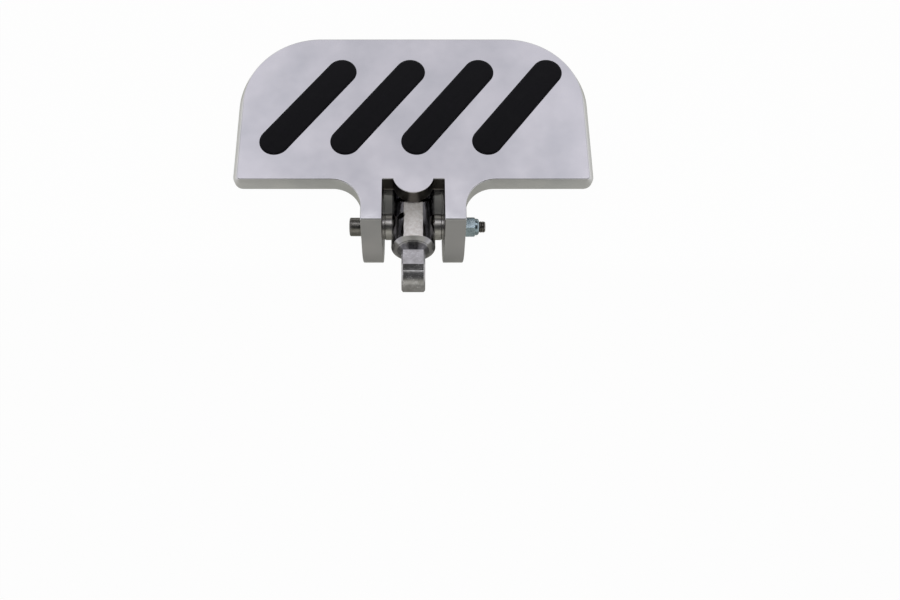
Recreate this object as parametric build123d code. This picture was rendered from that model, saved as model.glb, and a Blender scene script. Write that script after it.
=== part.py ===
from build123d import *
from math import acos, atan2, cos, hypot, radians, sin, sqrt, tan
import os

# A folding passenger floorboard for a motorcycle, in millimetres.
# X runs along the pivot bolt, +Y points outboard, away from the machine, and +Z is up.
# The origin is the centre of the clevis pin's bore in the mount tongue.

# Plate
board_width = 244.0
board_depth = 117.4
inner_edge_offset = 17.6
plate_thickness = 14.0
outboard_corner_radius = 56.0
inner_corner_radius = 6.5
bevel_width = 4.5
bevel_height = 8.0
bevel_softness = 1.6
bottom_edge_radius = 1.5
skin_thickness = 10.2
rim_wall = 6.0
rib_thickness = 4.5
rib_setback = 0.8

# Rubber inlays
inlay_count = 4
inlay_length = 91.4
inlay_width = 20.8
inlay_side_margin = 50.0
inlay_angle = 52.0
inlay_edge_distance = 56.9
pocket_depth = 4.0
pocket_gap = 0.15
inlay_proud = 0.8
inlay_edge_chamfer = 1.2
stud_pitch = 22.0
stud_diameter = 6.0
stud_gap = 0.15
stud_head_diameter = 8.4
stud_head_length = 2.8

# Clevis of the plate, measured from the pivot bolt's axis
pivot_depth = 36.4
ear_side_gap = 5.6
ear_thickness = 14.0
ear_round_radius = 25.0
ear_reach = 11.7
ear_gusset_reach = 52.0
ear_root_radius = 20.0
slot_end_offset = 18.1
nose_width = 26.8
nose_tip_offset = 7.8
web_thickness = 8.0

# Pivot bolt and what it carries
bolt_diameter = 8.0
bolt_clearance = 0.2
bolt_head_diameter = 13.0
bolt_head_height = 8.0
bolt_socket_width = 6.0
bolt_socket_depth = 4.0
bolt_tail = 4.4
washer_diameter = 15.0
washer_thickness = 1.6
nut_width = 13.0
nut_height = 9.5
nut_hex_height = 6.6
nut_collar_diameter = 11.6
insert_width = 1.0
insert_depth = 2.2
thrust_washer_diameter = 18.0
thrust_washer_thickness = 1.0
spacer_diameter = 18.4
spacer_end_gap = 0.15
spacer_bore_gap = 0.3
bush_wall = 1.95
bush_bolt_gap = 0.05
bush_middle_gap = 4.0

# Pivot block, measured along its own axis from the bolt
block_tilt = 13.0
block_diameter = 30.4
block_front = 18.4
block_cone_length = 2.4
cone_slope = 0.7
stop_gap = 0.4
spot_face_depth = 0.8
nose_sweep_gap = 0.7
block_edge_chamfer = 1.0

# Mount
shank_diameter = 16.0
shank_gap = 0.05
shank_end_offset = 8.3
shank_end_gap = 0.3
collar_seat_depth = 3.5
collar_seat_gap = 0.2
collar_rim_gap = 0.2
neck_diameter = 12.0
tongue_start = 29.7
tongue_width = 15.8
tongue_height = 23.0
tongue_pin_offset = 41.0
tongue_edge_chamfer = 1.1
stop_rise = 2.0
stop_end_offset = 41.4
stop_foot_angle = 19.3
pin_bore_diameter = 9.6
groove_depth = 1.2
groove_side_gap = 0.5

# Set screws
set_screw_diameter = 5.0
set_screw_socket_width = 2.5
set_screw_socket_depth = 2.2
set_screw_recess = 0.7
level_screw_offset = 13.0
level_tip_diameter = 3.2
screw_tip_gap = 0.3
tension_screw_inset = 7.0
tension_pad_length = 1.8
tension_pad_side_gap = 0.1

# Sizes worked out from the ones above
half_width = board_width / 2
outboard_edge = inner_edge_offset + board_depth
plate_top = pivot_depth
inlay_pitch = (board_width - 2 * inlay_side_margin) / (inlay_count - 1)
inlay_offset = inner_edge_offset + inlay_edge_distance
plate_bottom = plate_top - plate_thickness
skin_bottom = plate_top - skin_thickness
pocket_floor = plate_top - pocket_depth
bolt_radius = bolt_diameter / 2
bolt_hole_radius = bolt_radius + bolt_clearance
block_radius = block_diameter / 2
ear_inner = block_radius + ear_side_gap
ear_outer = ear_inner + ear_thickness
tension_screw_offset = block_radius - tension_screw_inset
block_rear = slot_end_offset - stop_gap
block_end = block_front + block_cone_length
annulus_radius = block_radius - block_cone_length / cone_slope
shank_radius = shank_diameter / 2
neck_radius = neck_diameter / 2
bush_outer_radius = bolt_radius + bush_bolt_gap + bush_wall
spot_face_plane = block_radius - spot_face_depth
head_seat = ear_outer + washer_thickness
eps = 0.01


def ring(outer_radius, inner_radius, start, length):
    """A plain ring about X, from start towards +X."""
    body = Cylinder(outer_radius, length, align=(Align.CENTER, Align.CENTER, Align.MIN))
    hole = Cylinder(inner_radius, length, align=(Align.CENTER, Align.CENTER, Align.MIN))
    return Plane.YZ.offset(start) * (body - hole)


def mirrored(solid, side):
    """The solid as made for the +X side, or its mirror image for the -X side."""
    return solid if side > 0 else mirror(solid, about=Plane.YZ)


def hex_prism(across_flats, length):
    """A hexagonal bar along Z from z = 0."""
    return extrude(RegularPolygon(across_flats / 2, 6, major_radius=False), amount=length)


# Board outline: a D with rounded outboard corners
def board_outline(inset):
    """The plate's outline, drawn in from its widest line by inset on the three outer sides."""
    side = half_width - inset
    outer = outboard_edge - inset
    round_out = outboard_corner_radius - inset
    round_in = inner_corner_radius - inset
    y_in = inner_edge_offset
    d = sqrt(0.5)
    edges = [
        Line((-side + round_in, y_in), (side - round_in, y_in)),
        ThreePointArc(
            (side - round_in, y_in),
            (side - round_in + round_in * d, y_in + round_in - round_in * d),
            (side, y_in + round_in),
        ),
        Line((side, y_in + round_in), (side, outer - round_out)),
        ThreePointArc(
            (side, outer - round_out),
            (side - round_out + round_out * d, outer - round_out + round_out * d),
            (side - round_out, outer),
        ),
        Line((side - round_out, outer), (-side + round_out, outer)),
        ThreePointArc(
            (-side + round_out, outer),
            (-side + round_out - round_out * d, outer - round_out + round_out * d),
            (-side, outer - round_out),
        ),
        Line((-side, outer - round_out), (-side, y_in + round_in)),
        ThreePointArc(
            (-side, y_in + round_in),
            (-side + round_in - round_in * d, y_in + round_in - round_in * d),
            (-side + round_in, y_in),
        ),
    ]
    return make_face(Curve() + edges)


def inlay_centres():
    """Centres of the inlays in plan, evenly spaced about the middle."""
    return [((i - (inlay_count - 1) / 2) * inlay_pitch, inlay_offset) for i in range(inlay_count)]


def stadium(centre, length, width, start, height):
    """An upright block with round ends, laid at the inlays' angle."""
    outline = SlotOverall(length, width)
    place = Plane((centre[0], centre[1], start)) * Rot(0, 0, inlay_angle)
    return place * extrude(outline, amount=height)


def stud_places(centre):
    """The three studs of one inlay, along its length."""
    turn = radians(inlay_angle)
    return [
        (centre[0] + k * stud_pitch * cos(turn), centre[1] + k * stud_pitch * sin(turn))
        for k in (-1, 0, 1)
    ]


# Clevis ear in the YZ plane: a round eye under a top corner, with a gusset behind
def tangent_angle(point, radius, turn):
    """Polar angle where the line from point touches the circle, on the side given by turn."""
    reach = hypot(point[0], point[1])
    return atan2(point[1], point[0]) + turn * acos(radius / reach)


def ear_profile():
    front_top = (-ear_reach, plate_top)
    rear_low = (ear_gusset_reach, plate_bottom)
    rear_top = (ear_gusset_reach, skin_bottom)
    front_angle = tangent_angle(front_top, ear_round_radius, 1)
    rear_angle = tangent_angle(rear_low, ear_round_radius, -1)
    r = ear_round_radius
    front_touch = (r * cos(front_angle), r * sin(front_angle))
    rear_touch = (r * cos(rear_angle), r * sin(rear_angle))
    lowest = (0, -r)
    top_mid = (slot_end_offset + web_thickness, plate_top)
    edges = [
        Line(front_top, front_touch),
        ThreePointArc(front_touch, lowest, rear_touch),
        Line(rear_touch, rear_low),
        Line(rear_low, rear_top),
        Line(rear_top, top_mid),
        Line(top_mid, front_top),
    ]
    return make_face(Curve() + edges)


def make_plate_blank():
    """The slab: a straight lower band with a bevelled band above it on the outer sides."""
    band = plate_thickness - bevel_height
    lower = extrude(Plane.XY.offset(plate_bottom) * board_outline(0), amount=band)
    bottom_edges = lower.faces().sort_by(Axis.Z)[0].edges()
    lower = fillet(bottom_edges, bottom_edge_radius)
    wide = Plane.XY.offset(plate_bottom + band) * board_outline(0)
    narrow = Plane.XY.offset(plate_top) * board_outline(bevel_width)
    upper = loft([wide, narrow], ruled=True)
    top_edges = upper.faces().sort_by(Axis.Z)[-1].edges()
    upper = fillet(top_edges, bevel_softness)
    return lower + upper


def make_recess():
    """The hollow under the skin, inside the rim, in front of which the clevis root stays solid."""
    inside = offset(board_outline(0), amount=-rim_wall)
    hollow = extrude(Plane.XY.offset(plate_bottom - 1) * inside, amount=skin_bottom - plate_bottom + 1)
    root_depth = ear_gusset_reach - inner_edge_offset
    root = Box(2 * ear_outer + 2 * rib_thickness, 2 * root_depth, 4 * plate_thickness)
    return hollow - Pos(0, inner_edge_offset, plate_bottom) * root


def make_ribs():
    """Slanted ribs between the inlays."""
    low = plate_bottom + rib_setback
    height = skin_bottom - low + eps
    reach = board_width
    ribs = []
    for i in range(inlay_count + 1):
        x = (i - inlay_count / 2) * inlay_pitch
        bar = Box(reach, rib_thickness, height, align=(Align.CENTER, Align.CENTER, Align.MIN))
        ribs.append(Pos(x, inlay_offset, low) * Rot(0, 0, inlay_angle) * bar)
    return ribs


def make_board_plate():
    blank = make_plate_blank()
    recess = make_recess()
    plate = blank - recess
    for rib in make_ribs():
        plate += rib & recess

    # Clevis: shoulders with concave roots, ears, stop web and nose
    shoulder_width = ear_outer + ear_root_radius
    front = -ear_reach - 1
    shoulders = Pos(0, 0, plate_bottom) * Box(
        2 * shoulder_width,
        inner_edge_offset + inner_corner_radius - front,
        plate_thickness,
        align=(Align.CENTER, Align.MIN, Align.MIN),
    )
    shoulders = Pos(0, front, 0) * shoulders
    for side in (-1, 1):
        cut = Box(
            ear_root_radius * 2,
            inner_edge_offset - front,
            2 * plate_thickness,
            align=(Align.MIN, Align.MIN, Align.CENTER),
        )
        cut = fillet(cut.edges().filter_by(Axis.Z).sort_by(Axis.X)[:2].sort_by(Axis.Y)[-1:],
                     ear_root_radius)
        shoulders -= mirrored(Pos(ear_outer, front, plate_bottom + plate_thickness / 2) * cut, side)
    profile = ear_profile()
    envelope = extrude(Plane.YZ.offset(-half_width) * profile, amount=board_width)
    front_zone = Box(4 * shoulder_width, 2 * inner_edge_offset, 4 * plate_top)
    shoulders -= front_zone - envelope
    plate += shoulders
    for side in (-1, 1):
        ear = extrude(Plane.YZ.offset(ear_inner) * profile, amount=ear_thickness)
        plate += mirrored(ear, side)
    web = envelope & Pos(0, slot_end_offset, 0) * Box(
        2 * ear_inner, web_thickness, 4 * plate_top, align=(Align.CENTER, Align.MIN, Align.CENTER)
    )
    plate += web

    # Slots on both sides of the nose, and the round end of the nose
    slot = Box(
        2 * ear_inner, slot_end_offset - front + 1, 8 * pivot_depth,
        align=(Align.CENTER, Align.MAX, Align.CENTER),
    )
    slot = Pos(0, slot_end_offset, 0) * slot
    nose_radius = (nose_width / 2) ** 2 + (slot_end_offset - nose_tip_offset) ** 2
    nose_radius = nose_radius / (2 * (slot_end_offset - nose_tip_offset))
    nose = Cylinder(nose_radius, plate_thickness, align=(Align.CENTER, Align.CENTER, Align.MIN))
    nose = Pos(0, nose_tip_offset + nose_radius, plate_bottom) * nose
    nose = nose & slot
    sweep = hypot(block_front, block_radius) + nose_sweep_gap
    nose -= Rot(0, 90, 0) * Cylinder(sweep, board_width)
    plate = plate - slot + nose

    # Pockets, stud holes and the bolt's hole
    for centre in inlay_centres():
        plate -= stadium(centre, inlay_length, inlay_width, pocket_floor, 2 * pocket_depth)
        for x, y in stud_places(centre):
            hole = Cylinder(stud_diameter / 2 + stud_gap, 4 * plate_thickness)
            plate -= Pos(x, y, pocket_floor) * hole
    plate -= Rot(0, 90, 0) * Cylinder(bolt_hole_radius, board_width)
    return plate


# Rubber strip with three studs that snap through the plate
def make_inlay(centre):
    length = inlay_length - 2 * pocket_gap
    width = inlay_width - 2 * pocket_gap
    pad = stadium(centre, length, width, pocket_floor, pocket_depth + inlay_proud)
    pad = chamfer(pad.faces().sort_by(Axis.Z)[-1].edges(), inlay_edge_chamfer)
    neck = pocket_floor - skin_bottom
    for x, y in stud_places(centre):
        stem = Cylinder(stud_diameter / 2, neck + eps, align=(Align.CENTER, Align.CENTER, Align.MIN))
        pad += Pos(x, y, skin_bottom) * stem
        head = Cone(
            stud_diameter / 2, stud_head_diameter / 2, stud_head_length,
            align=(Align.CENTER, Align.CENTER, Align.MAX),
        )
        pad += Pos(x, y, skin_bottom) * head
    return pad


# Turned block on the bolt: it is drawn level, with its front towards -Y, and tilted later
def turned(points):
    """A body turned about Y from (radius, y) points."""
    outline = Polyline(*[(r, y) for r, y in points], close=True)
    return revolve(make_face(outline), axis=Axis.Y)


def make_pivot_block():
    edge = block_edge_chamfer
    block = turned([
        (0, block_rear), (block_radius - edge, block_rear), (block_radius, block_rear - edge),
        (block_radius, -block_front), (annulus_radius, -block_end), (0, -block_end),
    ])
    # The upper rear is rounded about the bolt, so that the plate folds up past it
    size = 2 * block_diameter
    corner = Box(size, size, size, align=(Align.CENTER, Align.MIN, Align.MIN))
    block -= corner - Rot(0, 90, 0) * Cylinder(block_rear, 2 * size)
    shank_hole = Cylinder(
        shank_radius + shank_gap, block_end - shank_end_offset + shank_end_gap + 1,
        align=(Align.CENTER, Align.CENTER, Align.MIN),
    )
    block -= Plane.XZ.offset(shank_end_offset - shank_end_gap) * shank_hole
    seat = Cylinder(
        annulus_radius - collar_rim_gap / 2, collar_seat_depth + 1,
        align=(Align.CENTER, Align.CENTER, Align.MIN),
    )
    block -= Plane.XZ.offset(block_end - collar_seat_depth) * seat
    block -= Rot(0, 90, 0) * Cylinder(bush_outer_radius, 2 * size)
    for side in (-1, 1):
        face = Cylinder(
            spacer_diameter / 2 + 0.4, size, align=(Align.CENTER, Align.CENTER, Align.MIN)
        )
        block -= mirrored(Plane.YZ.offset(spot_face_plane) * face, side)
    tapped = Cylinder(set_screw_diameter / 2, size, align=(Align.CENTER, Align.CENTER, Align.MIN))
    block -= Pos(-tension_screw_offset, 0, 0) * tapped
    block -= Plane((0, -level_screw_offset, 0), z_dir=(0, 0, -1)) * tapped
    return block


def make_spacer(side):
    length = ear_inner - thrust_washer_thickness - spacer_end_gap - spot_face_plane
    collar = ring(spacer_diameter / 2, bolt_radius + spacer_bore_gap, spot_face_plane, length)
    outer_edges = collar.edges().filter_by(GeomType.CIRCLE).group_by(SortBy.RADIUS)[-1]
    collar = chamfer(outer_edges, 0.4)
    return mirrored(collar, side)


def make_thrust_washer(side):
    start = ear_inner - thrust_washer_thickness
    disc = ring(thrust_washer_diameter / 2, bolt_hole_radius, start, thrust_washer_thickness)
    return mirrored(disc, side)


def make_bush(side):
    """A plain bush; the tension pad passes through a hole in the left one."""
    start = bush_middle_gap / 2
    length = spot_face_plane - start
    bush = mirrored(ring(bush_outer_radius, bolt_radius + bush_bolt_gap, start, length), side)
    if side < 0:
        hole = Cylinder(
            set_screw_diameter / 2, block_radius, align=(Align.CENTER, Align.CENTER, Align.MIN)
        )
        bush -= Pos(-tension_screw_offset, 0, 0) * hole
    return bush


def make_washer(side):
    return mirrored(ring(washer_diameter / 2, bolt_hole_radius, ear_outer, washer_thickness), side)


def make_pivot_bolt():
    stem_length = 2 * head_seat + nut_height + bolt_tail
    stem = Plane.YZ.offset(-head_seat) * Cylinder(
        bolt_radius, stem_length, align=(Align.CENTER, Align.CENTER, Align.MIN)
    )
    stem = chamfer(stem.edges().filter_by(GeomType.CIRCLE).sort_by(Axis.X)[-1:], 0.8)
    head = Plane.YZ.offset(-head_seat - bolt_head_height) * Cylinder(
        bolt_head_diameter / 2, bolt_head_height, align=(Align.CENTER, Align.CENTER, Align.MIN)
    )
    head = chamfer(head.edges().filter_by(GeomType.CIRCLE).sort_by(Axis.X)[:1], 0.7)
    socket = hex_prism(bolt_socket_width, bolt_socket_depth)
    head -= Plane.YZ.offset(-head_seat - bolt_head_height) * socket
    return stem + head


def make_lock_nut():
    body = hex_prism(nut_width, nut_hex_height)
    corner = nut_width / sqrt(3)
    bevel = (corner - nut_width / 2) * tan(radians(30))
    lens = Cylinder(corner, nut_hex_height, align=(Align.CENTER, Align.CENTER, Align.MIN))
    outer_end = lens.edges().filter_by(GeomType.CIRCLE).sort_by(Axis.Z)[-1:]
    lens = chamfer(outer_end, bevel, corner - nut_width / 2)
    body = body & lens
    rise = nut_height - nut_hex_height
    collar = Pos(0, 0, nut_hex_height - eps) * Cylinder(
        nut_collar_diameter / 2, rise + eps, align=(Align.CENTER, Align.CENTER, Align.MIN)
    )
    collar = chamfer(collar.edges().filter_by(GeomType.CIRCLE).sort_by(Axis.Z)[-1:], 0.8)
    body += collar
    body -= Cylinder(bolt_radius, 4 * nut_height)
    room = Cylinder(bolt_radius + insert_width, insert_depth, align=(Align.CENTER, Align.CENTER, Align.MAX))
    body -= Pos(0, 0, nut_height - insert_width / 2) * room
    return Plane.YZ.offset(head_seat) * body


def make_lock_nut_insert():
    start = head_seat + nut_height - insert_width / 2 - insert_depth
    return ring(bolt_radius + insert_width, bolt_radius, start, insert_depth)


def make_set_screw(length, tip_radius, tip_length):
    """A set screw standing on z = 0 with its socket up and its tip below."""
    body = Cylinder(set_screw_diameter / 2, length, align=(Align.CENTER, Align.CENTER, Align.MIN))
    body = chamfer(body.edges().filter_by(GeomType.CIRCLE), 0.5)
    socket = hex_prism(set_screw_socket_width, set_screw_socket_depth)
    body -= Pos(0, 0, length - set_screw_socket_depth) * socket
    if tip_length > 0:
        body += Cylinder(tip_radius, tip_length + eps, align=(Align.CENTER, Align.CENTER, Align.MAX))
    return body


def make_level_screw():
    groove_floor = shank_radius - groove_depth
    shoulder = shank_radius + screw_tip_gap
    length = block_radius - set_screw_recess - shoulder
    tip = shoulder - groove_floor - screw_tip_gap
    screw = make_set_screw(length, level_tip_diameter / 2, tip)
    place = Plane((0, -level_screw_offset, -shoulder), x_dir=(1, 0, 0), z_dir=(0, 0, -1))
    return place * screw


def make_tension_pieces():
    start = bolt_radius + screw_tip_gap
    pad_end = start + tension_pad_length
    pad = Cylinder(
        set_screw_diameter / 2 - tension_pad_side_gap, tension_pad_length,
        align=(Align.CENTER, Align.CENTER, Align.MIN),
    )
    drop = tension_screw_offset + set_screw_diameter / 2
    mouth = sqrt(block_radius ** 2 - drop ** 2)
    screw = make_set_screw(mouth - set_screw_recess - pad_end, 0, 0)
    return Pos(-tension_screw_offset, 0, pad_end) * screw, Pos(-tension_screw_offset, 0, start) * pad


# Mount: shank and collar in the block, then a neck and a tongue with the clevis pin's bore
def make_tongue_mount():
    collar_radius = annulus_radius - collar_rim_gap
    collar_back = block_end - collar_seat_depth + collar_seat_gap
    cone_end = block_end + (collar_radius - neck_radius) * cone_slope
    groove_half = level_tip_diameter / 2 + groove_side_gap
    groove_floor = shank_radius - groove_depth
    body = turned([
        (0, -shank_end_offset), (shank_radius - 0.6, -shank_end_offset),
        (shank_radius, -shank_end_offset - 0.6),
        (shank_radius, -level_screw_offset + groove_half),
        (groove_floor, -level_screw_offset + groove_half),
        (groove_floor, -level_screw_offset - groove_half),
        (shank_radius, -level_screw_offset - groove_half),
        (shank_radius, -collar_back), (collar_radius, -collar_back), (collar_radius, -block_end),
        (neck_radius, -cone_end), (neck_radius, -tongue_start - 1), (0, -tongue_start - 1),
    ])
    half_height = tongue_height / 2
    back = Pos(0, -tongue_start, 0) * Box(
        tongue_width, tongue_pin_offset - tongue_start, tongue_height,
        align=(Align.CENTER, Align.MAX, Align.CENTER),
    )
    eye = Pos(0, -tongue_pin_offset, 0) * Rot(0, 90, 0) * Cylinder(half_height, tongue_width)
    # A flat stop on top that slopes down to the round end
    foot = radians(stop_foot_angle)
    foot_point = (-tongue_pin_offset - half_height * sin(foot), half_height * cos(foot))
    stop = make_face(Polyline(
        (-tongue_start, 0), (-tongue_start, half_height + stop_rise),
        (-stop_end_offset, half_height + stop_rise), foot_point, (foot_point[0], 0), close=True,
    ))
    stop = extrude(Plane.YZ.offset(-tongue_width / 2) * stop, amount=tongue_width)
    tongue = back + eye + stop
    sides = tongue.faces().filter_by(Axis.X)
    tongue = chamfer(sides.edges(), tongue_edge_chamfer)
    tongue -= Pos(0, -tongue_pin_offset, 0) * Rot(0, 90, 0) * Cylinder(pin_bore_diameter / 2, 2 * tongue_width)
    return body + tongue


# Everything is drawn about the pivot bolt's axis, then moved so that the pin's bore is the origin
tilt = radians(block_tilt)
bolt_place = Pos(0, tongue_pin_offset * cos(tilt), -tongue_pin_offset * sin(tilt))
block_place = bolt_place * Rot(-block_tilt, 0, 0)

tension_screw, tension_pad = make_tension_pieces()
nodes = {
    "board_plate": bolt_place * make_board_plate(),
    "pivot_block": block_place * make_pivot_block(),
    "tongue_mount": block_place * make_tongue_mount(),
    "level_screw": block_place * make_level_screw(),
    "tension_screw": block_place * tension_screw,
    "tension_pad": block_place * tension_pad,
    "pivot_bolt": bolt_place * make_pivot_bolt(),
    "lock_nut": bolt_place * make_lock_nut(),
    "lock_nut_insert": bolt_place * make_lock_nut_insert(),
    "bolt_washer": bolt_place * make_washer(-1),
    "nut_washer": bolt_place * make_washer(1),
}
for number, centre in enumerate(inlay_centres(), start=1):
    nodes[f"rubber_inlay_{number}"] = bolt_place * make_inlay(centre)
for name, side in (("left", -1), ("right", 1)):
    nodes[f"spacer_{name}"] = block_place * make_spacer(side)
    nodes[f"pivot_bush_{name}"] = block_place * make_bush(side)
    nodes[f"thrust_washer_{name}"] = bolt_place * make_thrust_washer(side)

os.makedirs("parts", exist_ok=True)
for node, solid in nodes.items():
    export_step(solid, f"parts/{node}.step")
    print(node, round(solid.volume), "mm3")
print("bolt axis at", bolt_place.position)
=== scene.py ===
import bpy
import bmesh
from math import cos, pi, radians, sin, sqrt, tan
from mathutils import Matrix, Vector


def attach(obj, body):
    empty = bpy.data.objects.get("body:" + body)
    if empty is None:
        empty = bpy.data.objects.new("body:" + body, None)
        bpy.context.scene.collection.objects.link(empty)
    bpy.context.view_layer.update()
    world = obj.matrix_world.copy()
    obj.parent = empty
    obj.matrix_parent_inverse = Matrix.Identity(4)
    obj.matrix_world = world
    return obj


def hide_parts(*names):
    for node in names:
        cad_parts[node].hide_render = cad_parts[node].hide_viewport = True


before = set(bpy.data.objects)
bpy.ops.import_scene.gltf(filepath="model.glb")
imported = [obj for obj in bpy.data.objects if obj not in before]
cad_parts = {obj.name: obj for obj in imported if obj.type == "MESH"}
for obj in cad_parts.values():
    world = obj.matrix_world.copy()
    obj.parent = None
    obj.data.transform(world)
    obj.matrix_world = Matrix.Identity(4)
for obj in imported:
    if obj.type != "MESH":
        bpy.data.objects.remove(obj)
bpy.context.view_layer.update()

# A folding passenger floorboard: a polished plate with rubber strips, hinged on a turned block.
# Every shape is drawn in millimetres about the pivot bolt and moved into the frame when it is done.

hinge = {
    "pinToBolt": 41.0,  # along the block's axis
    "blockTilt": 13.0,  # degrees, tongue end up
}
tilt = radians(hinge["blockTilt"])
boltPlace = Matrix.Translation((0, hinge["pinToBolt"] * cos(tilt), -hinge["pinToBolt"] * sin(tilt)))
blockPlace = boltPlace @ Matrix.Rotation(-tilt, 4, "X")
yToX = Matrix.Rotation(-pi / 2, 4, "Z")  # lays a body turned about Y along X
zToX = Matrix.Rotation(pi / 2, 4, "Y")
mm = 0.001  # metres
tolerance = {
    "merge": 0.0005,  # mm, points closer than this become one
    "level": 0.001,  # mm, a point this close to a height lies at it
    "snap": 0.0001,  # mm, a point this close to a cutting plane lies on it
    "flat": 0.3,  # degrees, faces that bend less than this are joined
    "flatHull": 0.5,
}


# Mesh helpers

def moved(bm, *matrices):
    for matrix in matrices:
        bmesh.ops.transform(bm, matrix=matrix, verts=bm.verts)
    return bm


def cleaned(bm):
    bmesh.ops.remove_doubles(bm, verts=bm.verts, dist=tolerance["merge"])
    bmesh.ops.recalc_face_normals(bm, faces=bm.faces)
    return bm


def polygon(bm, corners, z=0.0):
    verts = [bm.verts.new((x, y, z)) for x, y in corners]
    bm.faces.new(verts)
    return verts


def roundCorners(bm, verts, radius, segments):
    bmesh.ops.bevel(bm, geom=verts, offset=radius, segments=segments, profile=0.5,
                    affect="VERTICES", offset_type="OFFSET", material=-1)


def roundEdges(bm, edges, radius, segments):
    bmesh.ops.bevel(bm, geom=edges, offset=radius, segments=segments, profile=0.5,
                    affect="EDGES", offset_type="OFFSET", material=-1)


def raised(bm, height):
    grown = bmesh.ops.extrude_face_region(bm, geom=bm.faces[:])
    top = [part for part in grown["geom"] if isinstance(part, bmesh.types.BMVert)]
    bmesh.ops.translate(bm, vec=(0, 0, height), verts=top)
    return cleaned(bm)


def levelFace(bm, z):
    return next(f for f in bm.faces if all(abs(v.co.z - z) < tolerance["level"] for v in f.verts))


def brick(low, high):
    bm = bmesh.new()
    size = Vector(high) - Vector(low)
    middle = (Vector(high) + Vector(low)) / 2
    bmesh.ops.create_cube(bm, size=1, matrix=Matrix.Translation(middle) @ Matrix.Diagonal((*size, 1)))
    return bm


def rod(radius, length, segments=64):
    bm = bmesh.new()
    bmesh.ops.create_cone(bm, cap_ends=True, segments=segments, radius1=radius, radius2=radius,
                          depth=length, matrix=Matrix.Translation((0, 0, length / 2)))
    return bm


def crossRod(radius, start, length, segments=64):
    return moved(rod(radius, length, segments), zToX, Matrix.Translation((start, 0, 0)))


def turned(points, steps=96):  # a body turned about Y from (radius, y) points
    bm = bmesh.new()
    verts = [bm.verts.new((r, y, 0)) for r, y in points]
    edges = [bm.edges.new(pair) for pair in zip(verts, verts[1:] + verts[:1])
             if not (pair[0].co.x == 0 and pair[1].co.x == 0)]
    bmesh.ops.spin(bm, geom=verts + edges, cent=(0, 0, 0), axis=(0, 1, 0), angle=2 * pi,
                   steps=steps, use_merge=True)
    return cleaned(bm)


def hullOf(points):
    bm = bmesh.new()
    verts = [bm.verts.new(p) for p in points]
    found = bmesh.ops.convex_hull(bm, input=verts)
    spare = {part for part in found["geom_interior"] + found["geom_unused"]
             if isinstance(part, bmesh.types.BMVert)}
    bmesh.ops.delete(bm, geom=list(spare), context="VERTS")
    bmesh.ops.dissolve_limit(bm, angle_limit=radians(tolerance["flatHull"]), verts=bm.verts,
                             edges=bm.edges)
    return cleaned(bm)


def combined(base, tool, how="DIFFERENCE"):
    objects = []
    for bm in (base, tool):
        mesh = bpy.data.meshes.new("working")
        bm.to_mesh(mesh)
        bm.free()
        objects.append(bpy.data.objects.new("working", mesh))
        bpy.context.scene.collection.objects.link(objects[-1])
    cutting = objects[0].modifiers.new("cut", "BOOLEAN")
    cutting.solver = "EXACT"
    cutting.operation = how
    cutting.object = objects[1]
    graph = bpy.context.evaluated_depsgraph_get()
    result = bpy.data.meshes.new_from_object(objects[0].evaluated_get(graph))
    bm = bmesh.new()
    bm.from_mesh(result)
    for obj in objects:
        mesh = obj.data
        bpy.data.objects.remove(obj)
        bpy.data.meshes.remove(mesh)
    bpy.data.meshes.remove(result)
    cleaned(bm)
    bmesh.ops.dissolve_limit(bm, angle_limit=radians(tolerance["flat"]), verts=bm.verts,
                             edges=bm.edges)
    return bm


# Puts a finished shape into the scene in metres, with small round edges where edge is given
def makePiece(name, bm, finish, body, nodes, edge=0.0, segments=2, sharp=32, softer=None):
    cleaned(bm)
    weights = bm.edges.layers.float.new("bevel_weight_edge")
    for e in bm.edges:
        if edge and e.is_manifold and e.calc_face_angle() > radians(sharp):
            e[weights] = softer(e) if softer else 1.0
            e.smooth = e[weights] > 0
    moved(bm, Matrix.Scale(mm, 4))
    mesh = bpy.data.meshes.new(name)
    bm.to_mesh(mesh)
    bm.free()
    mesh.materials.append(finish)
    mesh.shade_smooth()
    obj = bpy.data.objects.new(name, mesh)
    bpy.context.scene.collection.objects.link(obj)
    if edge:
        rounding = obj.modifiers.new("round edges", "BEVEL")
        rounding.width = edge * mm
        rounding.segments = segments
        rounding.limit_method = "WEIGHT"
        rounding.use_clamp_overlap = False
        rounding.harden_normals = True
    else:
        mesh.set_sharp_from_angle(angle=radians(sharp))
    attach(obj, body)
    if nodes:
        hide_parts(*nodes)
    print("made", name, len(mesh.polygons), "faces")
    return obj


# Materials

def linear(code):  # an sRGB hex colour as linear values for a socket
    parts = [int(code[i:i + 2], 16) / 255 for i in (1, 3, 5)]
    return tuple(c / 12.92 if c <= 0.04045 else ((c + 0.055) / 1.055) ** 2.4 for c in parts) + (1.0,)


def addNode(tree, kind, settings=None, **inputs):  # inputs go by name, or by number as at0, at1
    node = tree.nodes.new("ShaderNode" + kind)
    for key, value in (settings or {}).items():
        setattr(node, key, value)
    for key, value in inputs.items():
        socket = node.inputs[int(key[2:])] if key.startswith("at") else node.inputs[key.replace("_", " ")]
        if isinstance(value, bpy.types.NodeSocket):
            tree.links.new(value, socket)
        else:
            socket.default_value = value
    return node


def newMaterial(name):
    material = bpy.data.materials.new(name)
    material.use_nodes = True
    tree = material.node_tree
    tree.nodes.clear()
    out = tree.nodes.new("ShaderNodeOutputMaterial")
    shader = tree.nodes.new("ShaderNodeBsdfPrincipled")
    tree.links.new(shader.outputs[0], out.inputs[0])
    where = addNode(tree, "TexCoord").outputs["Object"]
    return material, tree, shader, where


def perMetre(sizeInMm):  # noise scale for features of about this size
    return 1 / mm / sizeInMm


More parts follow.
